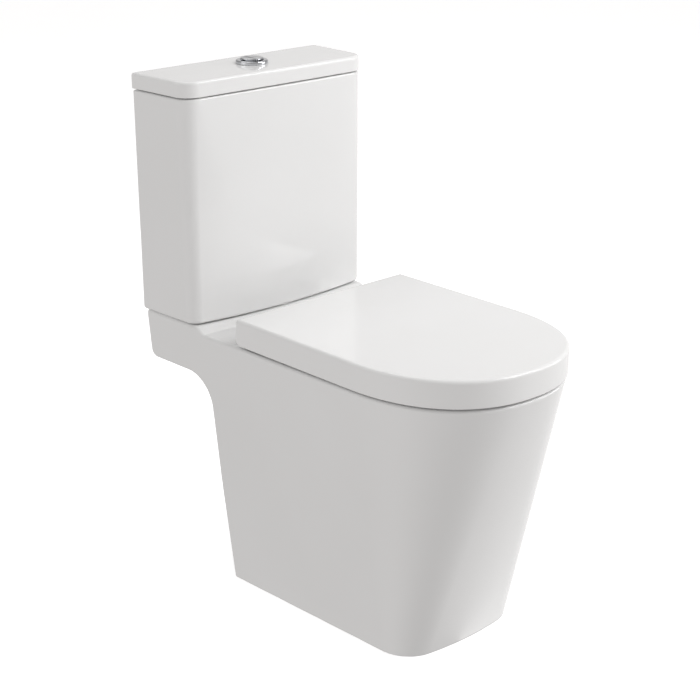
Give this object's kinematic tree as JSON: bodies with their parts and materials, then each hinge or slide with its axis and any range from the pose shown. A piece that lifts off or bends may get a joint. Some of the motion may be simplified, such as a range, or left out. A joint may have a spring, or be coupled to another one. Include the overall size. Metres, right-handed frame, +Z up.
{
  "type": "close coupled toilet",
  "caption": "Close coupled toilet with a fully skirted tapering pan, a slim cistern with a dual flush button, and a wrap-over soft-close seat.",
  "frame": {"origin": "on the floor, on the plane of symmetry, halfway between the wall side and the front of the seat", "axes": "+Z up, +Y towards the wall, +X to the right of a person who faces the toilet, and X is the symmetry axis"},
  "size_m": [0.388, 0.7, 0.86],
  "materials": {
    "ceramic": "gloss white glaze",
    "seat_plastic": "gloss white thermoset",
    "chrome": "polished chrome plate",
    "steel": "plain stainless steel",
    "rubber": "matt black rubber",
    "clear_rubber": "soft translucent white",
    "grey_plastic": "satin grey moulding",
    "blue_plastic": "satin blue moulding",
    "white_plastic": "satin white moulding"
  },
  "bodies": {
    "pan_and_cistern": {"pan": "ceramic", "cistern_body": "ceramic", "lid_pads": "clear_rubber", "cistern_seat_pads": "rubber", "coupling_bolts": "steel", "coupling_rubber_washers": "rubber", "coupling_plate_washers": "steel", "coupling_wing_nuts": "steel", "doughnut_seal": "rubber", "valve_base": "grey_plastic", "valve_base_washer": "rubber", "valve_back_nut": "grey_plastic", "valve_cage": "grey_plastic", "lever_pin": "steel", "fill_valve_body": "grey_plastic", "fill_valve_washer": "rubber", "fill_valve_back_nut": "grey_plastic", "fill_valve_cap": "blue_plastic", "fill_lever_pin": "steel", "inlet_filter": "white_plastic", "blanking_plug": "grey_plastic", "blanking_plug_nut": "grey_plastic", "hinge_posts": "chrome", "hinge_pins": "steel", "hinge_post_seals": "rubber", "seat_bolts": "steel", "seat_bolt_washers": "rubber", "seat_wing_nuts": "white_plastic"},
    "cistern_lid": {"cistern_lid": "ceramic", "button_bezel": "chrome", "bezel_nut": "grey_plastic", "full_button_spring": "steel", "half_button_spring": "steel"},
    "full_button": {"full_flush_button": "chrome"},
    "half_button": {"half_flush_button": "chrome"},
    "flush_lift": {"overflow_tube": "blue_plastic", "valve_seal": "rubber"},
    "full_lever": {"full_flush_lever": "blue_plastic"},
    "half_lever": {"half_flush_lever": "blue_plastic"},
    "half_float": {"half_flush_float": "white_plastic"},
    "fill_float": {"fill_float": "white_plastic", "float_rod": "grey_plastic"},
    "fill_lever": {"fill_lever": "blue_plastic"},
    "seat_ring": {"seat_ring": "seat_plastic", "ring_damper": "grey_plastic", "ring_buffers": "clear_rubber"},
    "seat_lid": {"seat_lid": "seat_plastic", "lid_damper": "grey_plastic", "lid_buffers": "clear_rubber"}
  },
  "joints": [
    {"name": "seat_ring_hinge", "type": "hinge", "parent": "pan_and_cistern", "child": "seat_ring", "pos_m": [0, 0.103, 0.468], "axis": [-1, 0, 0], "range_deg": [0, 102]},
    {"name": "seat_lid_hinge", "type": "hinge", "parent": "seat_ring", "child": "seat_lid", "pos_m": [0, 0.103, 0.468], "axis": [1, 0, 0], "range_deg": [-102, 0]},
    {"name": "cistern_lid_lift", "type": "slide", "parent": "pan_and_cistern", "child": "cistern_lid", "axis": [0, 0, 1], "range_m": [0, 0.12]},
    {"name": "full_button_press", "type": "slide", "parent": "cistern_lid", "child": "full_button", "axis": [0, 0, 1], "range_m": [-0.005, 0], "stiffness_N_per_m": 1500, "springref_m": 0.004, "deforming": ["full_button_spring"]},
    {"name": "half_button_press", "type": "slide", "parent": "cistern_lid", "child": "half_button", "axis": [0, 0, 1], "range_m": [-0.005, 0], "stiffness_N_per_m": 1500, "springref_m": 0.004, "deforming": ["half_button_spring"]},
    {"name": "flush_valve_lift", "type": "slide", "parent": "pan_and_cistern", "child": "flush_lift", "axis": [0, 0, 1], "range_m": [0, 0.012]},
    {"name": "full_lever_turn", "type": "hinge", "parent": "pan_and_cistern", "child": "full_lever", "pos_m": [0.008, 0.284, 0.766], "axis": [1, 0, 0], "range_deg": [0, 33]},
    {"name": "half_lever_turn", "type": "hinge", "parent": "pan_and_cistern", "child": "half_lever", "pos_m": [-0.008, 0.284, 0.766], "axis": [1, 0, 0], "range_deg": [0, 33]},
    {"name": "half_float_lift", "type": "slide", "parent": "pan_and_cistern", "child": "half_float", "axis": [0, 0, 1], "range_m": [0, 0.012]},
    {"name": "fill_float_rise", "type": "slide", "parent": "pan_and_cistern", "child": "fill_float", "axis": [0, 0, 1], "range_m": [0, 0.012]},
    {"name": "fill_lever_turn", "type": "hinge", "parent": "pan_and_cistern", "child": "fill_lever", "pos_m": [0.138, 0.284, 0.762], "axis": [0, 1, 0], "range_deg": [0, 19.5]}
  ],
  "couplings": [
    {"joint": "flush_valve_lift", "follows": "full_button_press", "ratio": -2.4},
    {"joint": "full_lever_turn", "follows": "full_button_press", "rad_per_m": -115.18},
    {"joint": "half_lever_turn", "follows": "half_button_press", "rad_per_m": -115.18},
    {"joint": "half_float_lift", "follows": "half_button_press", "ratio": -2.4},
    {"joint": "fill_lever_turn", "follows": "fill_float_rise", "rad_per_m": 28.359}
  ]
}
